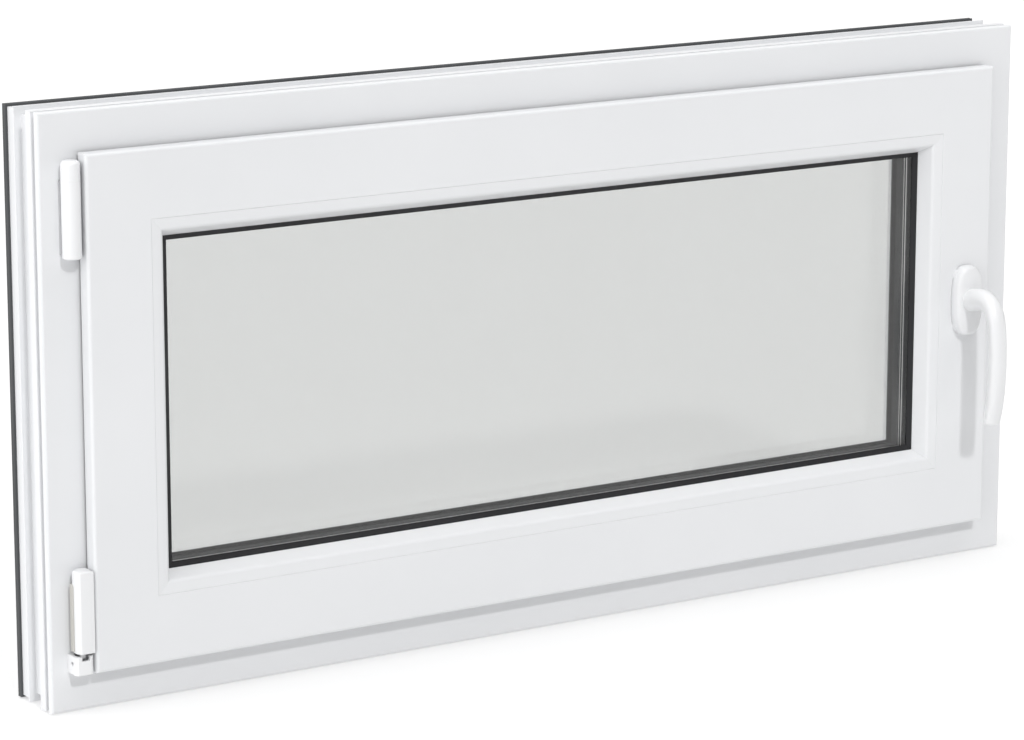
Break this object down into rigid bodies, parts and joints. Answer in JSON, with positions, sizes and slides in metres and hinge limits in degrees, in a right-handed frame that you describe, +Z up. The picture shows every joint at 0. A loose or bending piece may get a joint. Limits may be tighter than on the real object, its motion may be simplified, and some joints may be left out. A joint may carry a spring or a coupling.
{
  "type": "tilt and turn window",
  "caption": "White PVC tilt-and-turn casement window: frame, triple-glazed sash, lever handle, side hinges and rebate locking gear.",
  "frame": {"origin": "middle of the bearing rib under the frame sill, on the plane that rests on the wall opening", "axes": "+X along the width towards the handle side, +Y from the room towards the outdoors, +Z up"},
  "size_m": [1, 0.1385, 0.5],
  "materials": {
    "pvc_white": "satin",
    "reinforcing_steel": "galvanised",
    "grey_seal": "matt",
    "black_gasket": "matt",
    "edge_sealant": "matt",
    "spacer_dark": "satin",
    "glass": "clear",
    "block_plastic": "matt",
    "hinge_white": "satin",
    "zinc_steel": "zinc plated",
    "handle_white": "satin powder coat",
    "rosette_plastic": "matt"
  },
  "bodies": {
    "frame": {"frame_sill": "pvc_white", "frame_head": "pvc_white", "frame_hinge_jamb": "pvc_white", "frame_lock_jamb": "pvc_white", "frame_steel": "reinforcing_steel", "perimeter_seal": "grey_seal", "frame_gasket": "black_gasket", "drain_caps": "pvc_white", "corner_bearing": "hinge_white", "corner_adjuster": "zinc_steel", "stay_bearing": "hinge_white", "stay_bearing_screws": "zinc_steel", "stay_pin": "zinc_steel", "stay_cap": "hinge_white", "stay_bearing_cover": "hinge_white", "strikers": "zinc_steel", "striker_screws": "zinc_steel"},
    "corner_pivot": {"corner_pivot": "zinc_steel", "corner_cross_pin": "zinc_steel"},
    "sash": {"sash_sill": "pvc_white", "sash_head": "pvc_white", "sash_hinge_stile": "pvc_white", "sash_lock_stile": "pvc_white", "bead_sill": "pvc_white", "bead_head": "pvc_white", "bead_hinge": "pvc_white", "bead_lock": "pvc_white", "sash_steel_rails": "reinforcing_steel", "sash_steel_stiles": "reinforcing_steel", "sash_gasket": "black_gasket", "glass_inner": "glass", "glass_middle": "glass", "glass_outer": "glass", "spacers": "spacer_dark", "edge_sealant": "edge_sealant", "glazing_gasket_inner": "black_gasket", "glazing_gasket_outer": "black_gasket", "setting_blocks": "block_plastic", "corner_band": "hinge_white", "corner_band_screws": "zinc_steel", "corner_band_cover": "hinge_white", "faceplate_head": "zinc_steel", "faceplate_sill": "zinc_steel", "faceplate_lock": "zinc_steel", "faceplate_screws": "zinc_steel", "corner_drives": "zinc_steel", "gear_case": "zinc_steel", "rosette_base": "rosette_plastic", "rosette_cover": "handle_white", "rosette_screws": "zinc_steel"},
    "stay_arm": {"stay_arm": "zinc_steel"},
    "handle": {"handle_lever": "handle_white", "spindle": "zinc_steel", "pinion": "zinc_steel"},
    "lock_bar_lock": {"lock_bar_lock": "zinc_steel", "lock_cams_lock": "zinc_steel"},
    "lock_bar_head": {"lock_bar_head": "zinc_steel", "lock_cams_head": "zinc_steel"},
    "lock_bar_sill": {"lock_bar_sill": "zinc_steel", "lock_cams_sill": "zinc_steel"}
  },
  "joints": [
    {"name": "turn", "type": "hinge", "parent": "frame", "child": "corner_pivot", "pos_m": [-0.4755, -0.0248, 0.04], "axis": [0, 0, -1], "range_deg": [0, 90]},
    {"name": "tilt", "type": "hinge", "parent": "corner_pivot", "child": "sash", "pos_m": [-0.4755, -0.0248, 0.04], "axis": [1, 0, 0], "range_deg": [0, 15]},
    {"name": "stay_swing", "type": "hinge", "parent": "corner_pivot", "child": "stay_arm", "pos_m": [-0.4755, -0.0248, 0.4495], "axis": [0, 0.015, -0.9999], "range_deg": [0, 20.3]},
    {"name": "handle_turn", "type": "hinge", "parent": "sash", "child": "handle", "pos_m": [0.437, -0.0443, 0.25], "axis": [0, 1, 0], "range_deg": [0, 180]},
    {"name": "bar_lock_slide", "type": "slide", "parent": "sash", "child": "lock_bar_lock", "axis": [0, 0, 1], "range_m": [0, 0.0173]},
    {"name": "bar_head_slide", "type": "slide", "parent": "sash", "child": "lock_bar_head", "axis": [-1, 0, 0], "range_m": [0, 0.0173]},
    {"name": "bar_sill_slide", "type": "slide", "parent": "sash", "child": "lock_bar_sill", "axis": [1, 0, 0], "range_m": [0, 0.0173]}
  ],
  "couplings": [
    {"joint": "stay_swing", "follows": "tilt", "ratio": 1.329},
    {"joint": "bar_lock_slide", "follows": "handle_turn", "m_per_rad": 0.0055},
    {"joint": "bar_head_slide", "follows": "handle_turn", "m_per_rad": 0.0055},
    {"joint": "bar_sill_slide", "follows": "handle_turn", "m_per_rad": 0.0055}
  ]
}
